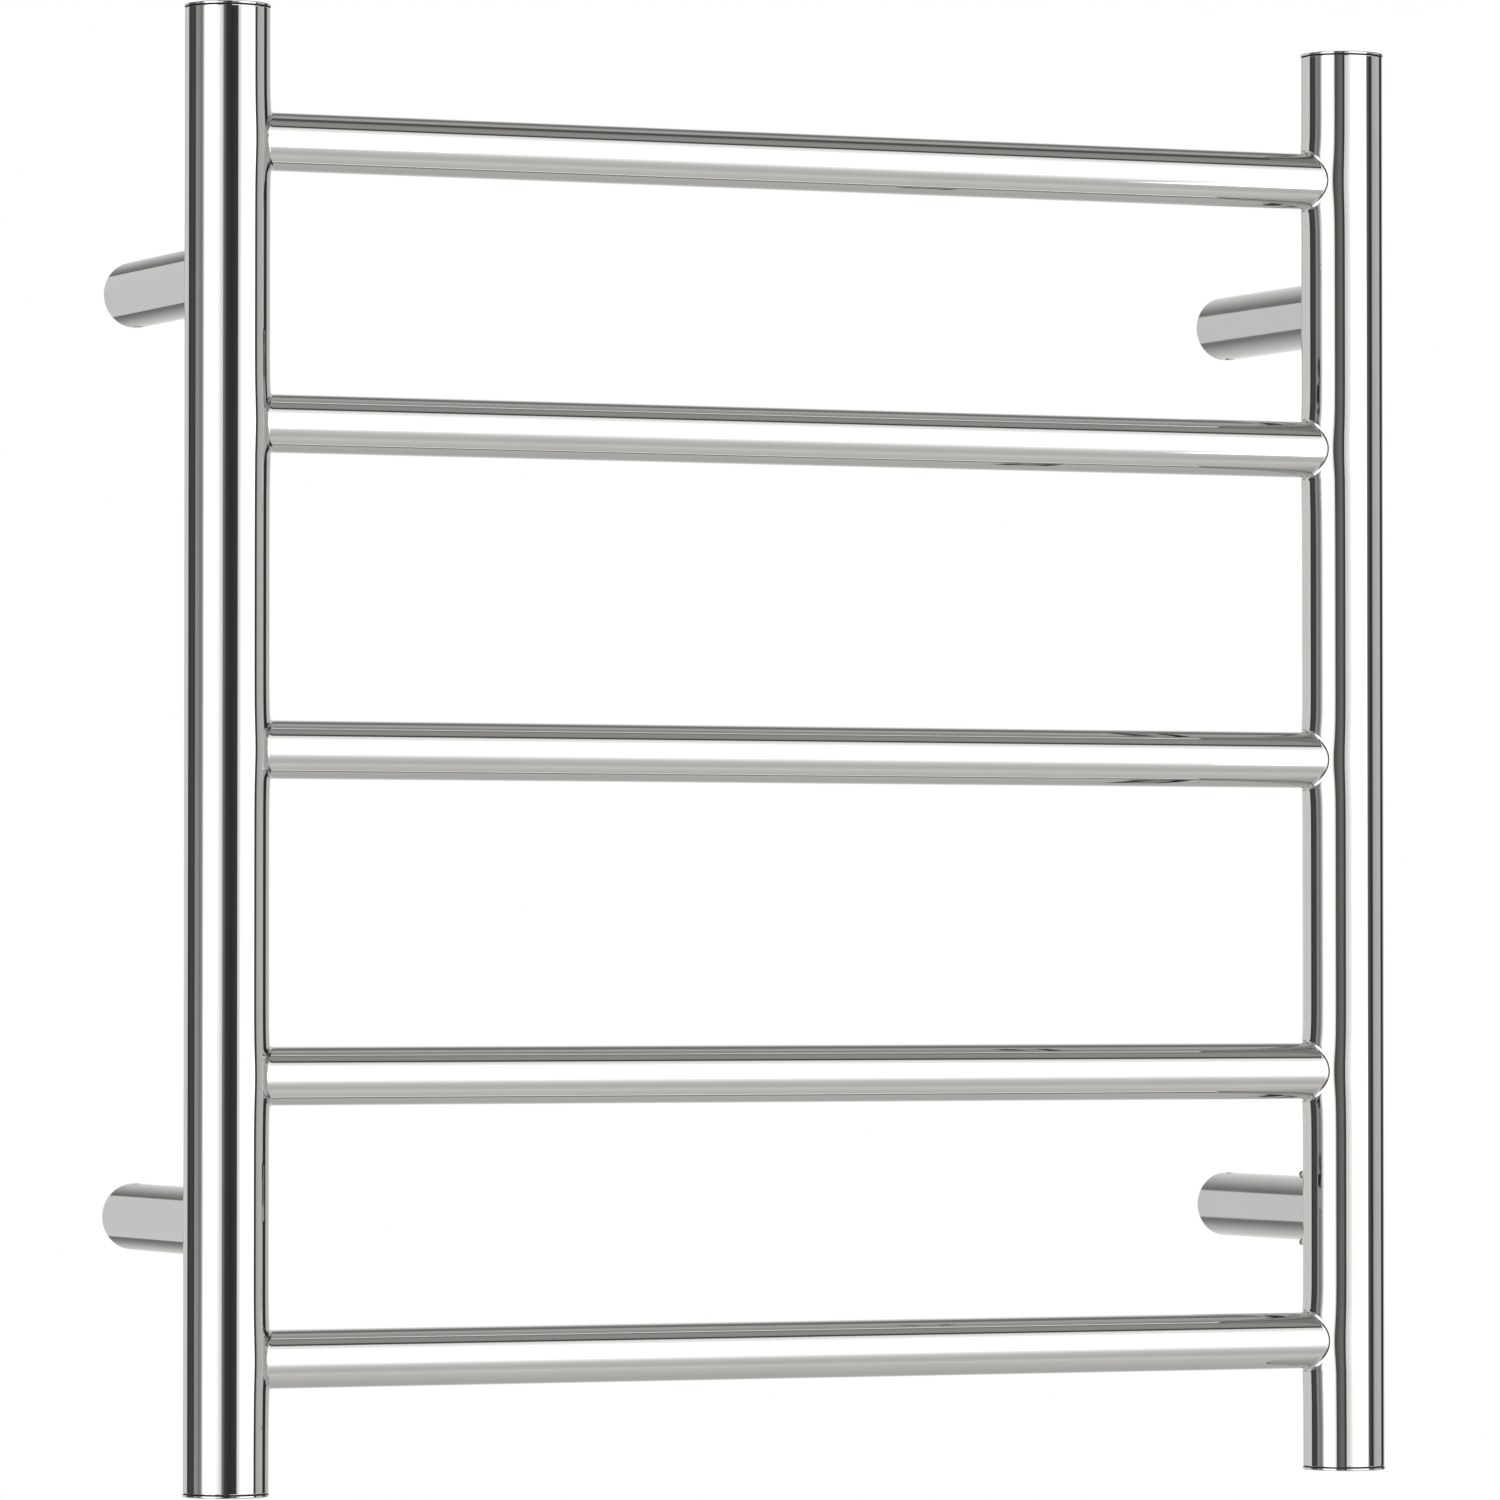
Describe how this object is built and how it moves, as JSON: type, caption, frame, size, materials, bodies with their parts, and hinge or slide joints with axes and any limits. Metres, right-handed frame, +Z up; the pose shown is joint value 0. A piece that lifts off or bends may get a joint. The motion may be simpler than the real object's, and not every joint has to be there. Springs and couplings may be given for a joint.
{
  "type": "towel warmer rack",
  "caption": "Wall-mounted heated towel rail: round rungs between two upright posts, on round stand-off brackets, with a heating cable inside.",
  "frame": {"origin": "on the wall's surface, midway between the four brackets", "axes": "+X right as seen from the room, +Y into the wall, +Z up"},
  "size_m": [0.5006, 0.1222, 0.56],
  "materials": {
    "polished_steel": "mirror-polished stainless steel tube",
    "cap_steel": "polished stainless steel, pressed",
    "satin_steel": "satin-polished, turned",
    "boss_steel": "turned, unpolished",
    "set_screw_steel": "black oxide",
    "bright_screw": "bright stainless",
    "brass": "machined",
    "tinned_copper": "tinned",
    "black_rubber": "matt moulded",
    "grey_silicone": "smooth silicone",
    "white_nylon": "moulded, satin",
    "cable_sheath": "silicone sheath",
    "lead_sheath": "extruded sheath",
    "heat_shrink": "shrunk sleeve",
    "live_wire": "brown insulation",
    "neutral_wire": "blue insulation",
    "earth_wire": "green insulation"
  },
  "bodies": {
    "wall_fixing": {"wall_boss_upper_left": "boss_steel", "wall_boss_upper_right": "boss_steel", "wall_boss_lower_left": "boss_steel", "wall_boss_lower_right": "boss_steel", "cable_grommet": "black_rubber"},
    "rail": {"left_post": "polished_steel", "right_post": "polished_steel", "rung_1": "polished_steel", "rung_2": "polished_steel", "rung_3": "polished_steel", "rung_4": "polished_steel", "rung_5": "polished_steel", "end_cap_upper_left": "cap_steel", "end_cap_upper_right": "cap_steel", "end_cap_lower_left": "cap_steel", "end_cap_lower_right": "cap_steel", "cap_seal_upper_left": "grey_silicone", "cap_seal_upper_right": "grey_silicone", "cap_seal_lower_left": "grey_silicone", "cap_seal_lower_right": "grey_silicone", "bracket_sleeve_upper_left": "satin_steel", "bracket_sleeve_upper_right": "satin_steel", "bracket_sleeve_lower_left": "satin_steel", "bracket_sleeve_lower_right": "satin_steel", "bracket_spigot": "boss_steel", "retaining_screw_top": "bright_screw", "retaining_screw_bottom": "bright_screw", "earth_screw": "bright_screw", "terminal_block": "white_nylon", "terminal_insert_1": "brass", "terminal_insert_2": "brass", "terminal_insert_3": "brass", "terminal_screw_1a": "bright_screw", "terminal_screw_1b": "bright_screw", "terminal_screw_2a": "bright_screw", "terminal_screw_2b": "bright_screw", "terminal_screw_3a": "bright_screw", "terminal_screw_3b": "bright_screw", "earth_lug": "tinned_copper", "live_wire": "live_wire", "neutral_wire": "neutral_wire", "earth_wire": "earth_wire", "cold_lead": "lead_sheath", "cold_joint": "heat_shrink", "end_termination": "heat_shrink", "heating_cable": "cable_sheath"},
    "set_screw_upper_left": {"set_screw_upper_left": "set_screw_steel"},
    "set_screw_upper_right": {"set_screw_upper_right": "set_screw_steel"},
    "set_screw_lower_left": {"set_screw_lower_left": "set_screw_steel"},
    "set_screw_lower_right": {"set_screw_lower_right": "set_screw_steel"}
  },
  "joints": [
    {"name": "rail_off_wall", "type": "slide", "parent": "wall_fixing", "child": "rail", "axis": [0, -1, 0], "range_m": [0, 0.02]},
    {"name": "set_screw_out_upper_left", "type": "slide", "parent": "rail", "child": "set_screw_upper_left", "axis": [0, 0, -1], "range_m": [0, 0.003]},
    {"name": "set_screw_out_upper_right", "type": "slide", "parent": "rail", "child": "set_screw_upper_right", "axis": [0, 0, -1], "range_m": [0, 0.003]},
    {"name": "set_screw_out_lower_left", "type": "slide", "parent": "rail", "child": "set_screw_lower_left", "axis": [0, 0, 1], "range_m": [0, 0.003]},
    {"name": "set_screw_out_lower_right", "type": "slide", "parent": "rail", "child": "set_screw_lower_right", "axis": [0, 0, 1], "range_m": [0, 0.003]}
  ]
}
